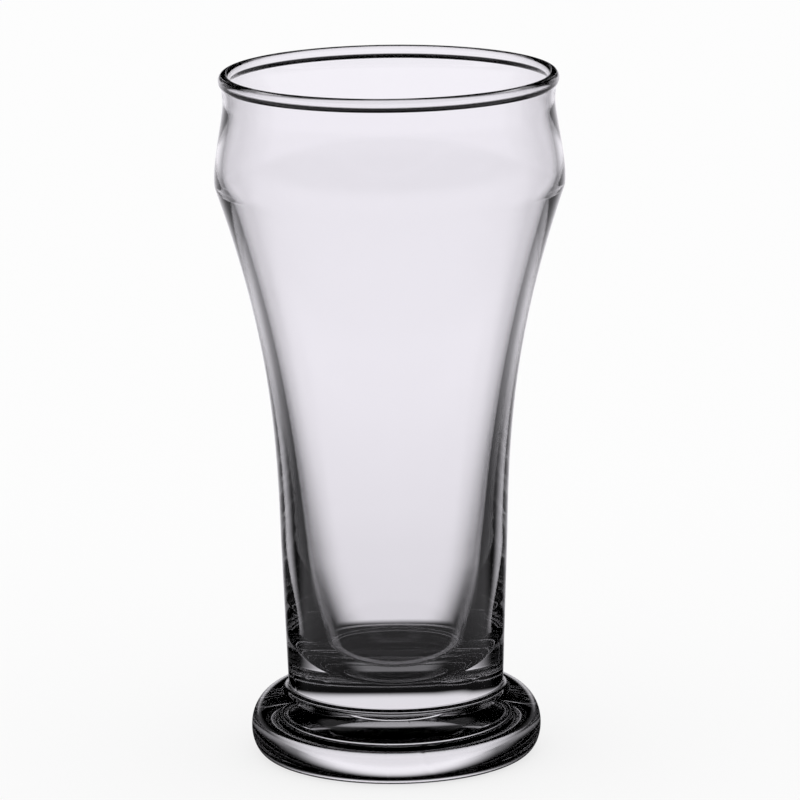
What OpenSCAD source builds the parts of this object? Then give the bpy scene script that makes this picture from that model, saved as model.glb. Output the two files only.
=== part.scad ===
// Heavy footed beer glass with a bulge below the rim. One piece of clear glass, drawn as the
// five zones it is formed in. Each zone is a closed solid of revolution about the Z axis and
// meets the next one on a full face, where the real glass is fused. Millimetres, +Z up,
// origin at the centre of the circle that the glass stands on.

/* [Rim] */
// Height of the whole glass
total_h = 177.5; // [172:0.5:184]
// Outside diameter of the rim bead
rim_d = 86.4; // [84:0.2:90]
// Width of the rim bead, across the wall
bead_w = 2.9; // [2.4:0.1:3.4]
// Height of the rim bead
bead_h = 3.6; // [3:0.1:4.4]
// Thickness of the wall just under the bead
rim_wall = 1.4; // [1:0.1:2]

/* [Bulge] */
// Outside diameter at the shoulder, where the taper turns into the bulge
shoulder_d = 88.6; // [86:0.2:92]
// Distance from the top of the glass down to the shoulder
shoulder_drop = 29.5; // [26:0.1:34]
// Thickness of the wall at the shoulder
shoulder_wall = 2.3; // [2:0.1:3]
// Outside diameter of the neck between the bulge and the bead
neck_d = 84.2; // [82:0.2:86]
// Distance from the top of the glass down to the neck
neck_drop = 7.5; // [7:0.5:10]

/* [Tapered wall] */
// Outside diameter of the lower wall, carried straight down to the crease above the foot
crease_d = 55.4; // [52:0.1:58]
// Outside diameter where the straight lower wall starts to flare
flare_d = 58.4; // [56:0.2:61]
// Height where the lower wall starts to flare
flare_z = 58; // [50:1:66]
// Thickness of the wall where the inside starts to flare
well_wall = 5.7; // [5:0.1:7]
// Height where the inside starts to flare
well_z = 63; // [58:1:68]

/* [Cavity floor] */
// Height of the floor of the cavity
floor_z = 20.4; // [20:0.1:23]
// Inside diameter at the top of the rounded cavity floor
cup_d = 38.4; // [37:0.1:42]
// Height of the top of the rounded cavity floor
cup_z = 32.4; // [30:0.1:36]
// Share of the floor's radius that is nearly flat
floor_flat = 0.71; // [0.5:0.01:0.9]
// Reach of the bend at the edge of the floor, down from the top of the rounded floor
floor_bend = 6.5; // [2:0.1:7]

/* [Foot] */
// Outside diameter of the foot
foot_d = 74.8; // [70:0.2:80]
// Height of the crease, where the top of the foot and the wall would meet
foot_h = 16.6; // [15:0.1:17.2]
// Radius of the rounded inside corner at the crease
crease_round = 2.0; // [1:0.1:2.5]
// Height of the widest part of the foot
foot_mid_z = 6.7; // [6:0.1:8.5]
// Fullness of the foot above its widest part; 2 is an ellipse
foot_fullness = 2.1; // [1.8:0.01:2.4]
// Outside diameter of the flat ring that the glass stands on
bearing_d = 67; // [64:0.2:69]
// Width of the flat ring that the glass stands on
bearing_w = 3; // [2:0.1:6]
// Height of the shallow hollow under the foot
punt_rise = 2.4; // [1:0.1:4]
// Width of the slope from the ring into the hollow
punt_slope = 2.6; // [2:0.1:6]

/* [Hidden] */
$fn = 128;

glass = [0.86, 0.86, 0.89, 0.55];
curve_steps = 20;

// Rim bead: an ellipse, cut off flat where it is exactly as wide as the wall that carries it
bead_r = rim_d / 2 - bead_w / 2;
bead_z = total_h - bead_h / 2;
bead_cut = acos(rim_wall / bead_w);
joint_z = bead_z - bead_h / 2 * sin(bead_cut);

// Heights of the stations
shoulder_z = total_h - shoulder_drop;
neck_z = total_h - neck_drop;
foot_top_z = foot_h + crease_round;

// Lean of the wall at the stations, as radius gained per millimetre of height
flare_lean = 0.02;
well_lean = 0.1;
shoulder_out_lean = 0.34;
shoulder_in_lean = 0.41;
cup_lean = 0.22;
joint_lean = 0.08;

// Reach of the curves above and below the stations: how far each keeps to its lean
flare_reach = 31;
shoulder_out_below = 35;
shoulder_out_above = 3.8;
shoulder_in_below = 26;
shoulder_in_above = 4.5;
neck_out_reach = 4;
neck_in_reach = 9.2;
neck_to_bead = [2, 1];
cup_reach = 12;
well_reach_below = 12;
well_reach_above = 30;
crease_pull = 0.6;
punt_flat = 0.57;

// Radius of the straight lower outside wall at height z
function lower_wall_r(z) =
    crease_d / 2 + (flare_d - crease_d) / 2 * (z - foot_h) / (flare_z - foot_h);

// Cubic curve in the radius and height plane through a and d, with b and c as its handles
function curve(a, b, c, d) = [
    for (i = [0:curve_steps]) let (t = i / curve_steps)
        pow(1 - t, 3) * a + 3 * pow(1 - t, 2) * t * b + 3 * (1 - t) * t * t * c + pow(t, 3) * d
];

// Rising curve from point a to point d that leaves and arrives with the given leans, with
// handles that are as long as given
function rise(a, lean_a, reach_a, d, lean_d, reach_d) = curve(
    a, a + reach_a * [lean_a, 1], d - reach_d * [lean_d, 1], d
);

// Part of an oval about centre, from angle a0 to a1 in degrees, with half axes rx and rz.
// A fullness of 2 is an ellipse, and more is squarer.
function oval(centre, rx, rz, a0, a1, steps, fullness = 2) = [
    for (i = [0:steps]) let (a = a0 + (a1 - a0) * i / steps)
        centre + [
            rx * sign(cos(a)) * pow(abs(cos(a)), 2 / fullness),
            rz * sign(sin(a)) * pow(abs(sin(a)), 2 / fullness)
        ]
];

function backwards(points) = [for (i = [len(points) - 1:-1:0]) points[i]];

// Stations of the outside, from the top of the foot up
out_foot = [lower_wall_r(foot_top_z), foot_top_z];
out_cup = [lower_wall_r(cup_z), cup_z];
out_flare = [flare_d / 2, flare_z];
out_shoulder = [shoulder_d / 2, shoulder_z];
out_neck = [neck_d / 2, neck_z];
out_joint = [bead_r + rim_wall / 2, joint_z];

// Stations of the inside, from the cavity floor up
in_floor = [0, floor_z];
in_cup = [cup_d / 2, cup_z];
in_well = [lower_wall_r(well_z) - well_wall, well_z];
in_shoulder = [shoulder_d / 2 - shoulder_wall, shoulder_z];
in_neck = [neck_d / 2 - rim_wall, neck_z];
in_joint = [bead_r - rim_wall / 2, joint_z];

// Turns an outline in the radius and height plane into a solid
module turned(points) {
    color(glass) rotate_extrude() polygon(points);
}

// Fire-polished rounded lip
module rim_bead() {
    turned(oval([bead_r, bead_z], bead_w / 2, bead_h / 2, -bead_cut, 180 + bead_cut, 36));
}

// Rounded bulge between the shoulder and the bead, which keeps stacked glasses from jamming
module bulge() {
    outside = concat(
        rise(out_shoulder, shoulder_out_lean, shoulder_out_above, out_neck, 0, neck_out_reach),
        rise(out_neck, 0, neck_to_bead[0], out_joint, joint_lean, neck_to_bead[1])
    );
    inside = concat(
        rise(in_shoulder, shoulder_in_lean, shoulder_in_above, in_neck, 0, neck_in_reach),
        rise(in_neck, 0, neck_to_bead[0], in_joint, joint_lean, neck_to_bead[1])
    );
    turned(concat(outside, backwards(inside)));
}

// Wall that is thick and nearly straight below, and flares and thins towards the shoulder
module tapered_wall() {
    outside = concat(
        [out_cup],
        rise(out_flare, flare_lean, flare_reach, out_shoulder, shoulder_out_lean, shoulder_out_below)
    );
    inside = concat(
        rise(in_cup, cup_lean, cup_reach, in_well, well_lean, well_reach_below),
        rise(in_well, well_lean, well_reach_above, in_shoulder, shoulder_in_lean, shoulder_in_below)
    );
    turned(concat(outside, backwards(inside)));
}

// Heavy solid bottom under the rounded floor of the cavity
module sham() {
    floor_curve = curve(
        in_floor, in_floor + [floor_flat * cup_d / 2, 0], in_cup - floor_bend * [cup_lean, 1], in_cup
    );
    turned(concat([[0, foot_top_z], out_foot, out_cup], backwards(floor_curve)));
}

// Bun-shaped foot with a rounded crease above it, a flat ring to stand on, and a shallow
// hollow inside the ring
module foot() {
    crease_r = crease_d / 2;
    bearing_r = bearing_d / 2;
    ring_in_r = bearing_r - bearing_w;
    widest = foot_d / 2;
    dome = oval(
        [crease_r, foot_mid_z], widest - crease_r, foot_h - foot_mid_z, 90, 0, 40, foot_fullness
    );
    corner = [crease_r, foot_h];
    upper = [for (point = dome) if (point.x > crease_r + crease_round) point];
    crease = curve(
        out_foot, out_foot + crease_pull * (corner - out_foot),
        upper[0] + crease_pull * (corner - upper[0]), upper[0]
    );
    lower = oval([bearing_r, foot_mid_z], widest - bearing_r, foot_mid_z, 0, -90, 20);
    hollow = curve(
        [ring_in_r, 0], [ring_in_r - punt_slope, punt_rise], [ring_in_r * punt_flat, punt_rise],
        [0, punt_rise]
    );
    turned(concat([[0, foot_top_z]], crease, upper, lower, hollow));
}

rim_bead();
bulge();
tapered_wall();
sham();
foot();
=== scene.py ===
import bpy
import math
import numpy as np
from mathutils import Matrix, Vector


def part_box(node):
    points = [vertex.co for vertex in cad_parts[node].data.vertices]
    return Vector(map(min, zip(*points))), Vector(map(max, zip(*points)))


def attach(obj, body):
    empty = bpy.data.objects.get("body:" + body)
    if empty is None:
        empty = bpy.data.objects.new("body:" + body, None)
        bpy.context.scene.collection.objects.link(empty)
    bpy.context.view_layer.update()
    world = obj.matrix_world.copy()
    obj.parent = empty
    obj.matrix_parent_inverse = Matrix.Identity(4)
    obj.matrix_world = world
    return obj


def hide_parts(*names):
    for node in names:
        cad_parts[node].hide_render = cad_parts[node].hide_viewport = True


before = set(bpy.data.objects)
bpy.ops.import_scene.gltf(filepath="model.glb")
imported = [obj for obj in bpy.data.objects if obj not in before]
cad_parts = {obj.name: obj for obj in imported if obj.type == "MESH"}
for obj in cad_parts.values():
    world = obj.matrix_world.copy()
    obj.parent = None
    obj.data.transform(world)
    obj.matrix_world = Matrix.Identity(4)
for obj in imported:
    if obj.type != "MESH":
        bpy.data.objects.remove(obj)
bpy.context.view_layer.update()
scene = bpy.context.scene

MM = 0.001
TURN = 2 * math.pi


# ---------------------------------------------------------------- sizes

def reach(node):
    """Largest radius of a CAD node, in metres."""
    low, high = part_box(node)
    return max(high.x, high.y)


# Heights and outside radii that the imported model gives.
TOP_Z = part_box("rim_bead")[1].z
JOINT_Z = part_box("rim_bead")[0].z
SHOULDER_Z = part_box("bulge")[0].z
CUP_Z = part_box("tapered_wall")[0].z
FOOT_TOP_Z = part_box("sham")[0].z
FOOT_R = reach("foot")
SHOULDER_R = reach("tapered_wall")
RIM_R = reach("rim_bead")

# The rest are the section's own sizes, as in the CAD model.
BEAD_W = 2.9 * MM
BEAD_H = 3.6 * MM
RIM_WALL = 1.4 * MM
NECK_R = 42.1 * MM
NECK_Z = TOP_Z - 7.5 * MM
SHOULDER_WALL = 2.3 * MM
CREASE_R = 27.7 * MM
CREASE_ROUND = 2.0 * MM
CREASE_Z = FOOT_TOP_Z - CREASE_ROUND
FLARE_R = 29.2 * MM
FLARE_Z = 58 * MM
WELL_Z = 63 * MM
WELL_WALL = 5.7 * MM
CUP_R = 19.2 * MM
FLOOR_Z = 20.4 * MM
FLOOR_FLAT = 0.71
FLOOR_BEND = 6.5 * MM
FOOT_MID_Z = 6.7 * MM
FOOT_FULLNESS = 2.1
BEARING_R = 33.5 * MM
BEARING_W = 3 * MM
PUNT_RISE = 2.4 * MM
PUNT_SLOPE = 2.6 * MM
PUNT_FLAT = 0.57

# Lean of the wall at the stations, as radius gained for each unit of height.
FLARE_LEAN = 0.02
WELL_LEAN = 0.1
SHOULDER_OUT_LEAN = 0.34
SHOULDER_IN_LEAN = 0.41
CUP_LEAN = 0.22
JOINT_LEAN = 0.08

# How far each curve keeps to its lean, above and below a station.
FLARE_REACH = 31 * MM
SHOULDER_OUT_REACH = (35 * MM, 3.8 * MM)
SHOULDER_IN_REACH = (26 * MM, 4.5 * MM)
NECK_OUT_REACH = 4 * MM
NECK_IN_REACH = 9.2 * MM
NECK_TO_BEAD = (2 * MM, 1 * MM)
CUP_REACH = 12 * MM
WELL_REACH = (12 * MM, 30 * MM)
CREASE_PULL = 0.6


# ---------------------------------------------------------------- section curves

def cubic(a, b, c, d, steps):
    """Points of the cubic curve from a to d with handles b and c."""
    a, b, c, d = (np.array(p, float) for p in (a, b, c, d))
    t = np.linspace(0, 1, steps + 1)[:, None]
    return (1 - t) ** 3 * a + 3 * (1 - t) ** 2 * t * b + 3 * (1 - t) * t ** 2 * c + t ** 3 * d


def rise(a, lean_a, reach_a, d, lean_d, reach_d, steps):
    """A rising curve that leaves a and arrives at d with the given leans."""
    leave = (a[0] + lean_a * reach_a, a[1] + reach_a)
    arrive = (d[0] - lean_d * reach_d, d[1] - reach_d)
    return cubic(a, leave, arrive, d, steps)


def oval(centre, rx, rz, a0, a1, steps, fullness=2):
    """Part of an oval from angle a0 to a1, in degrees. A fullness of 2 is an ellipse."""
    a = np.radians(np.linspace(a0, a1, steps + 1))
    across = np.sign(np.cos(a)) * np.abs(np.cos(a)) ** (2 / fullness)
    up = np.sign(np.sin(a)) * np.abs(np.sin(a)) ** (2 / fullness)
    return np.stack([centre[0] + rx * across, centre[1] + rz * up], 1)


def straight(a, b, steps):
    """Evenly spaced points on the line from a to b."""
    t = np.linspace(0, 1, steps + 1)[:, None]
    return np.array(a, float) * (1 - t) + np.array(b, float) * t


def chain(*parts):
    """Joins curves end to end and drops the repeated points."""
    return np.vstack([parts[0]] + [part[1:] for part in parts[1:]])


def down(path):
    """A path in the other direction."""
    return path[::-1]


def lower_wall_r(z):
    """Radius of the straight lower outside wall at height z."""
    return CREASE_R + (FLARE_R - CREASE_R) * (z - CREASE_Z) / (FLARE_Z - CREASE_Z)


BEAD_R = RIM_R - BEAD_W / 2
BEAD_Z = TOP_Z - BEAD_H / 2
BEAD_CUT = math.degrees(math.acos(RIM_WALL / BEAD_W))

OUT_FOOT = (lower_wall_r(FOOT_TOP_Z), FOOT_TOP_Z)
OUT_CUP = (lower_wall_r(CUP_Z), CUP_Z)
OUT_FLARE = (FLARE_R, FLARE_Z)
OUT_SHOULDER = (SHOULDER_R, SHOULDER_Z)
OUT_NECK = (NECK_R, NECK_Z)
OUT_JOINT = (BEAD_R + RIM_WALL / 2, JOINT_Z)
IN_FLOOR = (0, FLOOR_Z)
IN_CUP = (CUP_R, CUP_Z)
IN_WELL = (lower_wall_r(WELL_Z) - WELL_WALL, WELL_Z)
IN_SHOULDER = (SHOULDER_R - SHOULDER_WALL, SHOULDER_Z)
IN_NECK = (NECK_R - RIM_WALL, NECK_Z)
IN_JOINT = (BEAD_R - RIM_WALL / 2, JOINT_Z)

# Outside and inside of each zone, from the bottom up.
OUT_SHAM = straight(OUT_FOOT, OUT_CUP, steps=14)
OUT_WALL = chain(
    straight(OUT_CUP, OUT_FLARE, steps=16),
    rise(
        OUT_FLARE, FLARE_LEAN, FLARE_REACH,
        OUT_SHOULDER, SHOULDER_OUT_LEAN, SHOULDER_OUT_REACH[0], steps=70,
    ),
)
OUT_BULGE = chain(
    rise(
        OUT_SHOULDER, SHOULDER_OUT_LEAN, SHOULDER_OUT_REACH[1],
        OUT_NECK, 0, NECK_OUT_REACH, steps=40,
    ),
    rise(OUT_NECK, 0, NECK_TO_BEAD[0], OUT_JOINT, JOINT_LEAN, NECK_TO_BEAD[1], steps=10),
)
IN_SHAM = cubic(
    IN_FLOOR, (FLOOR_FLAT * CUP_R, FLOOR_Z),
    (CUP_R - CUP_LEAN * FLOOR_BEND, CUP_Z - FLOOR_BEND), IN_CUP, steps=56,
)
IN_WALL = chain(
    rise(IN_CUP, CUP_LEAN, CUP_REACH, IN_WELL, WELL_LEAN, WELL_REACH[0], steps=32),
    rise(
        IN_WELL, WELL_LEAN, WELL_REACH[1],
        IN_SHOULDER, SHOULDER_IN_LEAN, SHOULDER_IN_REACH[0], steps=64,
    ),
)
IN_BULGE = chain(
    rise(
        IN_SHOULDER, SHOULDER_IN_LEAN, SHOULDER_IN_REACH[1],
        IN_NECK, 0, NECK_IN_REACH, steps=40,
    ),
    rise(IN_NECK, 0, NECK_TO_BEAD[0], IN_JOINT, JOINT_LEAN, NECK_TO_BEAD[1], steps=10),
)
BEAD = oval((BEAD_R, BEAD_Z), BEAD_W / 2, BEAD_H / 2, -BEAD_CUT, 180 + BEAD_CUT, steps=48)


def foot_outline():
    """The crease, and the side of the foot from the crease down to the bearing ring."""
    dome = oval(
        (CREASE_R, FOOT_MID_Z), FOOT_R - CREASE_R, CREASE_Z - FOOT_MID_Z,
        90, 0, steps=56, fullness=FOOT_FULLNESS,
    )
    dome = dome[dome[:, 0] > CREASE_R + CREASE_ROUND]
    corner = np.array([CREASE_R, CREASE_Z])
    top, start = np.array(OUT_FOOT), dome[0]
    crease = cubic(
        top, top + CREASE_PULL * (corner - top),
        start + CREASE_PULL * (corner - start), start, steps=16,
    )
    under = oval((BEARING_R, FOOT_MID_Z), FOOT_R - BEARING_R, FOOT_MID_Z, 0, -90, steps=34)
    return crease, chain(dome, under)


CREASE, FOOT_SIDE = foot_outline()
RING_IN_R = BEARING_R - BEARING_W
BEARING = straight((BEARING_R, 0), (RING_IN_R, 0), steps=6)
PUNT = cubic(
    (RING_IN_R, 0), (RING_IN_R - PUNT_SLOPE, PUNT_RISE),
    (RING_IN_R * PUNT_FLAT, PUNT_RISE), (0, PUNT_RISE), steps=48,
)


# ---------------------------------------------------------------- turning a section

SIDES = 192
GAP = 0.001 * MM
AXIS_R = 1e-9

# The two faint ridges that the halves of the mould leave down the foot and the lower wall.
# They come in over the heights SEAM_LOW, go out over SEAM_HIGH, and lie outside SEAM_R.
SEAM_AT = (math.radians(-94), math.radians(86))
SEAM_HEIGHT = 0.05 * MM
SEAM_WIDTH = math.radians(0.5)
SEAM_STEPS = 4
SEAM_SPREAD = 3 * SEAM_WIDTH
ANGLE_DIGITS = 7
SEAM_LOW = (0.6 * MM, 3 * MM)
SEAM_HIGH = (34 * MM, 60 * MM)
SEAM_R = CREASE_R - 1.5 * MM


def smooth_step(value, start, end):
    """Rises smoothly from 0 at start to 1 at end."""
    t = np.clip((value - start) / (end - start), 0, 1)
    return t * t * (3 - 2 * t)


def ring_angles():
    """Even angles all round, with extra ones across each seam."""
    even = np.arange(SIDES) * TURN / SIDES
    across = np.arange(-SEAM_STEPS, SEAM_STEPS + 1) * SEAM_SPREAD / SEAM_STEPS
    extra = np.concatenate([seam + across for seam in SEAM_AT])
    angles = np.round(np.concatenate([even, extra]) % TURN, ANGLE_DIGITS)
    return np.unique(angles)


def seam_shape(angles):
    """Height of the seams round a ring, from 0 to 1, and its slope for each radian."""
    ridge, slope = np.zeros_like(angles), np.zeros_like(angles)
    for seam in SEAM_AT:
        off = (angles - seam + math.pi) % TURN - math.pi
        one = np.exp(-((off / SEAM_WIDTH) ** 2))
        ridge += one
        slope += one * -2 * off / SEAM_WIDTH ** 2
    return ridge, slope


ANGLES = ring_angles()
RIDGE, RIDGE_SLOPE = seam_shape(ANGLES)


def seam_share(path):
    """How much of the seams' height each point of a path carries."""
    r, z = path[:, 0], path[:, 1]
    rising = smooth_step(z, *SEAM_LOW)
    fading = 1 - smooth_step(z, *SEAM_HIGH)
    return SEAM_HEIGHT * rising * fading * (r > SEAM_R)


def grid_of(path):
    """Points of a path turned about Z, as rows along the path and columns around."""
    r = path[:, 0][:, None] + seam_share(path)[:, None] * RIDGE
    z = path[:, 1][:, None] * np.ones_like(ANGLES)
    return np.stack([r * np.cos(ANGLES), r * np.sin(ANGLES), z], -1)


def normals_of(path):
    """Outward normals of a turned path; the path runs with the glass on its left."""
    step = np.gradient(path, axis=0)
    if len(path) > 2:
        step[0] = -3 * path[0] + 4 * path[1] - path[2]
        step[-1] = 3 * path[-1] - 4 * path[-2] + path[-3]
    out = np.stack([step[:, 1], -step[:, 0]], 1)
    out /= np.linalg.norm(out, axis=1)[:, None]
    for end in (0, -1):
        if path[end, 0] < AXIS_R:
            out[end] = (0, math.copysign(1, out[end, 1]))
    nr = out[:, 0][:, None] * np.ones_like(ANGLES)
    nz = out[:, 1][:, None] * np.ones_like(ANGLES)
    side = -nr * seam_share(path)[:, None] * RIDGE_SLOPE / np.maximum(path[:, 0], MM)[:, None]
    c, s = np.cos(ANGLES), np.sin(ANGLES)
    normals = np.stack([nr * c - side * s, nr * s + side * c, nz], -1)
    return normals / np.linalg.norm(normals, axis=-1)[..., None]


def strip_rings(path, verts, first, last):
    """Adds a strip's points to verts and gives the vertex numbers of each of its rings. The
    strip shares the rings first and last with its neighbours, where they aren't None."""
    n = len(ANGLES)
    grid = grid_of(path)
    rings = []
    for i in range(len(path)):
        if i == 0 and first is not None:
            rings.append(first)
        elif i == len(path) - 1 and last is not None:
            rings.append(last)
        elif path[i, 0] < AXIS_R:
            rings.append([len(verts)] * n)
            verts.append((0, 0, path[i, 1]))
        else:
            rings.append(list(range(len(verts), len(verts) + n)))
            verts.extend(map(tuple, grid[i]))
    return rings


def face_corners(rings, i, j):
    """Corners of a face between rings i and i + 1, as vertex, ring and place in the ring. It is
    a triangle where one of the rings is a single point on the axis."""
    low, high = rings[i], rings[i + 1]
    k = (j + 1) % len(low)
    corners = [(low[j], i, j), (low[k], i, k), (high[k], i + 1, k), (high[j], i + 1, j)]
    if low[j] == low[k]:
        corners.pop(1)
    elif high[j] == high[k]:
        corners.pop(2)
    return corners


def turned_piece(name, strips, materials):
    """A closed solid of revolution. strips are (path, material slot), in order round the
    section, anticlockwise, with the glass on the left. Each strip is smooth along its own
    length, with a crisp edge where it meets the next one."""
    verts, faces, slots, normals = [], [], [], []
    first_path = strips[0][0]
    starts_off_axis = first_path[0, 0] > AXIS_R
    first_ring = None
    last_ring = None
    for index, (path, slot) in enumerate(strips):
        closes = starts_off_axis and index == len(strips) - 1
        rings = strip_rings(path, verts, last_ring, first_ring if closes else None)
        norm = normals_of(path)
        for i in range(len(path) - 1):
            for j in range(len(ANGLES)):
                corners = face_corners(rings, i, j)
                faces.append([vertex for vertex, row, column in corners])
                normals.extend(tuple(norm[row, column]) for vertex, row, column in corners)
                slots.append(slot)
        if first_ring is None:
            first_ring = rings[0]
        last_ring = rings[-1]
    mesh = bpy.data.meshes.new(name)
    mesh.from_pydata(verts, [], faces)
    for material in materials:
        mesh.materials.append(material)
    mesh.polygons.foreach_set("material_index", slots)
    mesh.polygons.foreach_set("use_smooth", [True] * len(faces))
    mesh.normals_split_custom_set(normals)
    mesh.update()
    piece = bpy.data.objects.new(name, mesh)
    scene.collection.objects.link(piece)
    return piece


# ---------------------------------------------------------------- shader maths

class Nodes:
    """Adds linked shader nodes to a node tree."""

    def __init__(self, tree):
        self.tree = tree

    def add(self, kind, **sockets):
        """A node of that kind, with its inputs linked or set by name."""
        node = self.tree.nodes.new(kind)
        for name, value in sockets.items():
            self.feed(node.inputs[name.replace("_", " ")], value)
        return node

    def feed(self, socket, value):
        if isinstance(value, bpy.types.NodeSocket):
            self.tree.links.new(value, socket)
        else:
            socket.default_value = value

    def math(self, operation, *values):
        node = self.tree.nodes.new("ShaderNodeMath")
        node.operation = operation
        for socket, value in zip(node.inputs, values):
            self.feed(socket, value)
        return node.outputs[0]

    def ramp(self, value, start, end, low=0.0, high=1.0):
        """Smooth step of value from start to end, between low and high."""
        node = self.tree.nodes.new("ShaderNodeMapRange")
        node.interpolation_type = "SMOOTHSTEP"
        for socket, number in zip(node.inputs, (value, start, end, low, high)):
            self.feed(socket, number)
        return node.outputs[0]

    def noise(self, scale, detail, seed):
        """Noise fixed to the object, from 0 to 1."""
        coord = self.tree.nodes.new("ShaderNodeTexCoord")
        node = self.tree.nodes.new("ShaderNodeTexNoise")
        node.noise_dimensions = "4D"
        self.feed(node.inputs["Vector"], coord.outputs["Object"])
        self.feed(node.inputs["W"], float(seed))
        self.feed(node.inputs["Scale"], float(scale))
        self.feed(node.inputs["Detail"], float(detail))
        return node.outputs["Fac"]

    def place(self):
        """Coordinates x, y and z, fixed to the object."""
        coord = self.tree.nodes.new("ShaderNodeTexCoord")
        split = self.tree.nodes.new("ShaderNodeSeparateXYZ")
        self.feed(split.inputs[0], coord.outputs["Object"])
        return split.outputs

    def height(self):
        """Height above what the glass stands on."""
        return self.place()["Z"]

    def radius(self):
        """Distance from the axis."""
        x, y, z = self.place()
        squares = self.math("ADD", self.math("MULTIPLY", x, x), self.math("MULTIPLY", y, y))
        return self.math("SQRT", squares)

    def angle(self):
        """Angle off the +Y direction, to either side, in degrees."""
        x, y, z = self.place()
        return self.math("DEGREES", self.math("ABSOLUTE", self.math("ARCTAN2", x, y)))


# ---------------------------------------------------------------- materials

GLASS_IOR = 1.52
GLASS_TINT = (0.985, 0.98, 0.99, 1)
WAVE_SCALE = 34
WAVE_HEIGHT = 0.015 * MM
WEAR_TOP = 0.25 * MM
GRIT_SCALE = 900
GRIT_RANGE = (0.45, 0.7)
SKIN_ROUGHNESS = 0.02
WORN_ROUGHNESS = 0.3


def glass_material():
    """Clear pressed glass: a slightly wavy skin, and a bearing ring that is worn matt."""
    mat = bpy.data.materials.new("clear_glass")
    mat.use_nodes = True
    nt = mat.node_tree
    nodes = Nodes(nt)
    shader = nt.nodes["Principled BSDF"]
    shader.inputs["Base Color"].default_value = GLASS_TINT
    shader.inputs["IOR"].default_value = GLASS_IOR
    shader.inputs["Transmission Weight"].default_value = 1
    grit = nodes.ramp(nodes.noise(GRIT_SCALE, detail=3, seed=2), *GRIT_RANGE)
    near_table = nodes.ramp(nodes.height(), 0.0, WEAR_TOP, 1.0, 0.0)
    worn = nodes.math("MULTIPLY", near_table, grit)
    rough = nodes.math("MULTIPLY_ADD", worn, WORN_ROUGHNESS, SKIN_ROUGHNESS)
    nodes.feed(shader.inputs["Roughness"], rough)
    wave = nodes.noise(WAVE_SCALE, detail=1, seed=5)
    bump = nt.nodes.new("ShaderNodeBump")
    bump.inputs["Strength"].default_value = 1
    bump.inputs["Distance"].default_value = WAVE_HEIGHT
    nodes.feed(bump.inputs["Height"], wave)
    nodes.feed(shader.inputs["Normal"], bump.outputs["Normal"])
    return mat


def fused_material():
    """The face between two zones: there is no surface there in the real glass."""
    mat = bpy.data.materials.new("fused_face")
    mat.use_nodes = True
    nt = mat.node_tree
    nt.nodes.remove(nt.nodes["Principled BSDF"])
    clear = nt.nodes.new("ShaderNodeBsdfTransparent")
    nt.links.new(clear.outputs[0], nt.nodes["Material Output"].inputs["Surface"])
    return mat


# ---------------------------------------------------------------- the glass

GLASS, FUSED = 0, 1
glass = [glass_material(), fused_material()]


def fused(a, b):
    """Flat face from a to b, where one zone meets the next."""
    return np.array([a, b], float), FUSED


def lowered(strips, gaps):
    """Strips moved down by so many hairline gaps, so that no two faces lie in one plane."""
    return [(path - (0, gaps * GAP), slot) for path, slot in strips]


def bead_strips():
    return [(BEAD, GLASS), fused(BEAD[-1], BEAD[0])]


def ring_strips(outside, inside):
    """A zone that is open through its middle."""
    return [
        (outside, GLASS),
        fused(outside[-1], inside[-1]),
        (down(inside), GLASS),
        fused(inside[0], outside[0]),
    ]


def sham_strips():
    return [
        fused((0, FOOT_TOP_Z), OUT_SHAM[0]),
        (OUT_SHAM, GLASS),
        fused(OUT_SHAM[-1], IN_SHAM[-1]),
        (down(IN_SHAM), GLASS),
    ]


def foot_strips():
    return [
        (down(PUNT), GLASS),
        (down(BEARING), GLASS),
        (down(FOOT_SIDE), GLASS),
        (down(CREASE), GLASS),
        fused(CREASE[0], (0, FOOT_TOP_Z)),
    ]


ZONES = {
    "rim_bead": lowered(bead_strips(), 0),
    "bulge": lowered(ring_strips(OUT_BULGE, IN_BULGE), 1),
    "tapered_wall": lowered(ring_strips(OUT_WALL, IN_WALL), 2),
    "sham": lowered(sham_strips(), 3),
    "foot": lowered(foot_strips(), 4),
}
for node, strips in ZONES.items():
    piece = turned_piece(node + "_glass", strips, glass)
    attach(piece, "root")
    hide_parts(node)


# ---------------------------------------------------------------- studio

scene.view_settings.view_transform = "Standard"
scene.cycles.caustics_refractive = False
scene.cycles.caustics_reflective = False
scene.cycles.max_bounces = 32
scene.cycles.transmission_bounces = 32
scene.cycles.glossy_bounces = 32
scene.cycles.transparent_max_bounces = 64

PALE = (0.985, 0.985, 0.985, 1)
LILAC = (0.97, 0.95, 1.0, 1)

# Place and far limit in metres, angles in degrees, lens and sensor in millimetres, and the
# shift as a share of the frame.
CAMERA_AT = (0, -1.4233, 0.4133)
CAMERA_DOWN = 12.71
CAMERA_ROLL = -0.7
CAMERA_LENS = 256.5
CAMERA_SENSOR = 36
CAMERA_SHIFT = 0.0094
CAMERA_FAR = 50

# Floor: how far it reaches each way, how far it lies below the glass, and the share of it
# that glows, which keeps the shadow faint.
FLOOR_REACH = 6.0
FLOOR_DROP = 0.1 * MM
FLOOR_GLOW = 0.75

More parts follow.
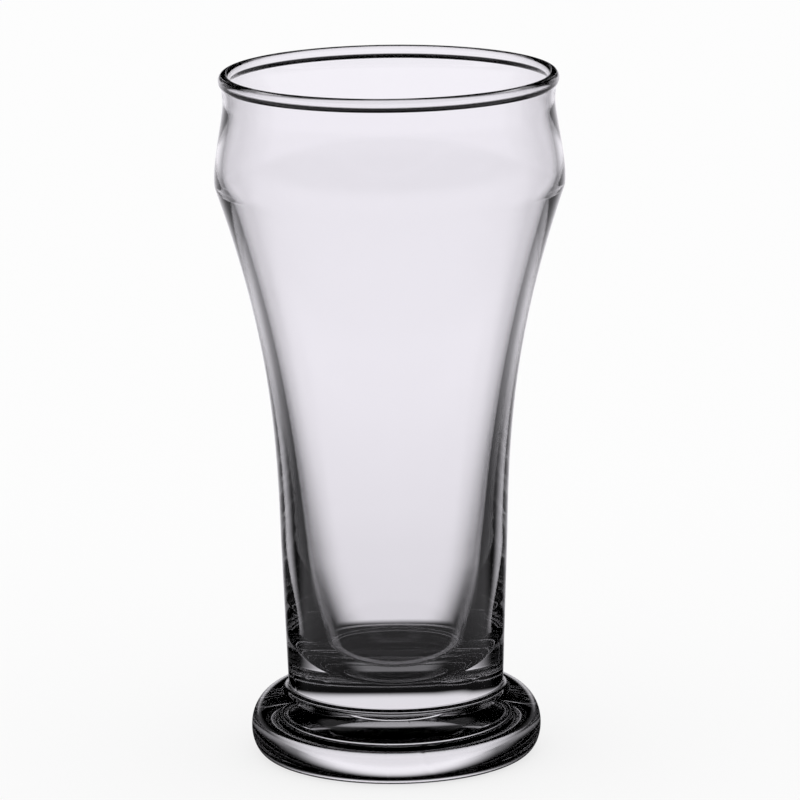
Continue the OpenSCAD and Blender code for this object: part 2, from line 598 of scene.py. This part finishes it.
# Strengths of the lights that show in the glass. Each pair that ends in IN, OUT or TOP is the
# radii or heights, in metres, between which a light comes in or goes out. The other pairs are
# angles in degrees off straight back.
STRIP_NEAR = 0.84
STRIP_FAR = 0.98
STRIP_IN = (0.049, 0.058)
STRIP_FAR_IN = (0.1, 0.5)
STRIP_FADE = (12.0, 40.0)
DIM_LIGHT = 0.24
DIM_IN = (0.13, 0.36)
DIM_START = (8.0, 36.0)
PALE_LIGHT = 0.6
PALE_IN = (0.06, 0.16)
PALE_START = (66.0, 84.0)
UNDER_LIGHT = 0.15
UNDER_IN = (0.016, 0.02)
UNDER_OUT = (0.032, 0.036)
UNDER_START = (100.0, 140.0)
WALL_LIGHT_TOP = (0.0, 0.4)
HIGH_LIGHT = 0.4
HIGH_IN = (0.45, 0.6)
HIGH_OUT = (1.2, 1.5)
HIGH_FADE = (90.0, 120.0)

# The table is a square that reaches so far each way, with a low wall round it.
TABLE_REACH = 3.0
WALL_TOP = 0.5
HIGH_Z = 2.0
HIGH_REACH = 1.5


def add_camera():
    """Camera a little above the rim, on the photograph's side of the glass."""
    data = bpy.data.cameras.new("camera")
    data.sensor_width = CAMERA_SENSOR
    data.lens = CAMERA_LENS
    data.shift_x = CAMERA_SHIFT
    data.clip_end = CAMERA_FAR
    camera = bpy.data.objects.new("camera", data)
    scene.collection.objects.link(camera)
    tilt = Matrix.Rotation(math.radians(90 - CAMERA_DOWN), 4, "X")
    roll = Matrix.Rotation(math.radians(CAMERA_ROLL), 4, "Z")
    camera.matrix_world = Matrix.Translation(CAMERA_AT) @ tilt @ roll
    scene.camera = camera


def add_world():
    """Pale to the camera and to the floor, and dark in the glass, which shows only the
    panels."""
    world = bpy.data.worlds.new("studio")
    scene.world = world
    world.use_nodes = True
    nt = world.node_tree
    nodes = Nodes(nt)
    path = nt.nodes.new("ShaderNodeLightPath")
    seen = nodes.math("MAXIMUM", path.outputs["Is Camera Ray"], path.outputs["Is Diffuse Ray"])
    nt.nodes["Background"].inputs["Color"].default_value = PALE
    nodes.feed(nt.nodes["Background"].inputs["Strength"], seen)


def level_square(reach, z):
    """Corners of a level square about the axis."""
    return [(-reach, -reach, z), (reach, -reach, z), (reach, reach, z), (-reach, reach, z)]


def flat_sheet(name, corners, material):
    """A four-cornered sheet of the studio, which isn't part of the object."""
    mesh = bpy.data.meshes.new(name)
    mesh.from_pydata(corners, [], [(0, 1, 2, 3)])
    mesh.materials.append(material)
    sheet = bpy.data.objects.new(name, mesh)
    scene.collection.objects.link(sheet)
    return sheet


def add_floor():
    """Plain pale floor with a faint soft shadow. The glass doesn't show it."""
    mat = bpy.data.materials.new("pale_floor")
    mat.use_nodes = True
    nt = mat.node_tree
    nodes = Nodes(nt)
    nt.nodes.remove(nt.nodes["Principled BSDF"])
    matt = nodes.add("ShaderNodeBsdfDiffuse", Color=PALE)
    glow = nodes.add("ShaderNodeEmission", Color=PALE)
    mix = nodes.add("ShaderNodeMixShader", Fac=FLOOR_GLOW)
    nt.links.new(matt.outputs[0], mix.inputs[1])
    nt.links.new(glow.outputs[0], mix.inputs[2])
    nt.links.new(mix.outputs[0], nt.nodes["Material Output"].inputs["Surface"])
    floor = flat_sheet("floor", level_square(FLOOR_REACH, 0), mat)
    floor.location.z = -FLOOR_DROP
    floor.visible_transmission = False
    floor.visible_glossy = False


def add_panel(name, corners, light):
    """A glowing panel that shows only in the glass. light(nodes) gives its strength."""
    mat = bpy.data.materials.new(name)
    mat.use_nodes = True
    nt = mat.node_tree
    nodes = Nodes(nt)
    nt.nodes.remove(nt.nodes["Principled BSDF"])
    glow = nodes.add("ShaderNodeEmission", Color=LILAC, Strength=light(nodes))
    nt.links.new(glow.outputs[0], nt.nodes["Material Output"].inputs["Surface"])
    mat.cycles.emission_sampling = "NONE"
    panel = flat_sheet(name, corners, mat)
    panel.visible_camera = False
    panel.visible_diffuse = False
    panel.visible_shadow = False


def under_foot(nodes, radius, angle):
    """Dim light under the front of the foot, which shows in the thick bottom."""
    start = nodes.ramp(radius, *UNDER_IN)
    end = nodes.ramp(radius, *UNDER_OUT, 1.0, 0.0)
    band = nodes.math("MULTIPLY", start, end)
    return nodes.math("MULTIPLY", band, nodes.ramp(angle, *UNDER_START, 0.0, UNDER_LIGHT))


def back_strip(nodes, radius, angle):
    """Lit strip of table that runs back from just behind the foot and fades to both sides."""
    near = nodes.ramp(radius, *STRIP_IN)
    far = nodes.ramp(radius, *STRIP_FAR_IN, STRIP_NEAR, STRIP_FAR)
    length = nodes.math("MULTIPLY", near, far)
    return nodes.math("MULTIPLY", length, nodes.ramp(angle, *STRIP_FADE, 1.0, 0.0))


def rest_of_table(nodes, radius, angle):
    """Dim on each side of the strip, and paler round the sides and the front."""
    dim = nodes.ramp(radius, *DIM_IN, 0.0, DIM_LIGHT)
    dim = nodes.math("MULTIPLY", dim, nodes.ramp(angle, *DIM_START))
    pale = nodes.ramp(radius, *PALE_IN, 0.0, PALE_LIGHT)
    pale = nodes.math("MULTIPLY", pale, nodes.ramp(angle, *PALE_START))
    return nodes.math("MAXIMUM", dim, pale)


def table_light(nodes):
    """Light from the table: its three parts added up."""
    radius, angle = nodes.radius(), nodes.angle()
    total = under_foot(nodes, radius, angle)
    for part in (back_strip, rest_of_table):
        total = nodes.math("ADD", total, part(nodes, radius, angle))
    return total


def wall_light(nodes):
    """Low wall round the table, which carries on its light and fades upwards."""
    angle = nodes.angle()
    behind = nodes.ramp(angle, *STRIP_FADE, STRIP_FAR, 0.0)
    level = nodes.math("MAXIMUM", behind, nodes.ramp(angle, *PALE_START, DIM_LIGHT, PALE_LIGHT))
    return nodes.math("MULTIPLY", nodes.ramp(nodes.height(), *WALL_LIGHT_TOP, 1.0, 0.0), level)


def high_light(nodes):
    """Soft curved light high up behind the glass and to both sides of it."""
    radius = nodes.radius()
    arc = nodes.math("MULTIPLY", nodes.ramp(radius, *HIGH_IN), nodes.ramp(radius, *HIGH_OUT, 1.0, 0.0))
    return nodes.math("MULTIPLY", arc, nodes.ramp(nodes.angle(), *HIGH_FADE, HIGH_LIGHT, 0.0))


def add_panels():
    """The fixed lights that stand round the glass."""
    add_panel("table_light", level_square(TABLE_REACH, 0), table_light)
    add_panel("high_light", level_square(HIGH_REACH, HIGH_Z), high_light)
    corners = level_square(TABLE_REACH, 0)
    for side, start in enumerate(corners):
        end = corners[(side + 1) % len(corners)]
        wall = [start, end, (*end[:2], WALL_TOP), (*start[:2], WALL_TOP)]
        add_panel("wall_light_%d" % side, wall, wall_light)


add_camera()
add_world()
add_floor()
add_panels()
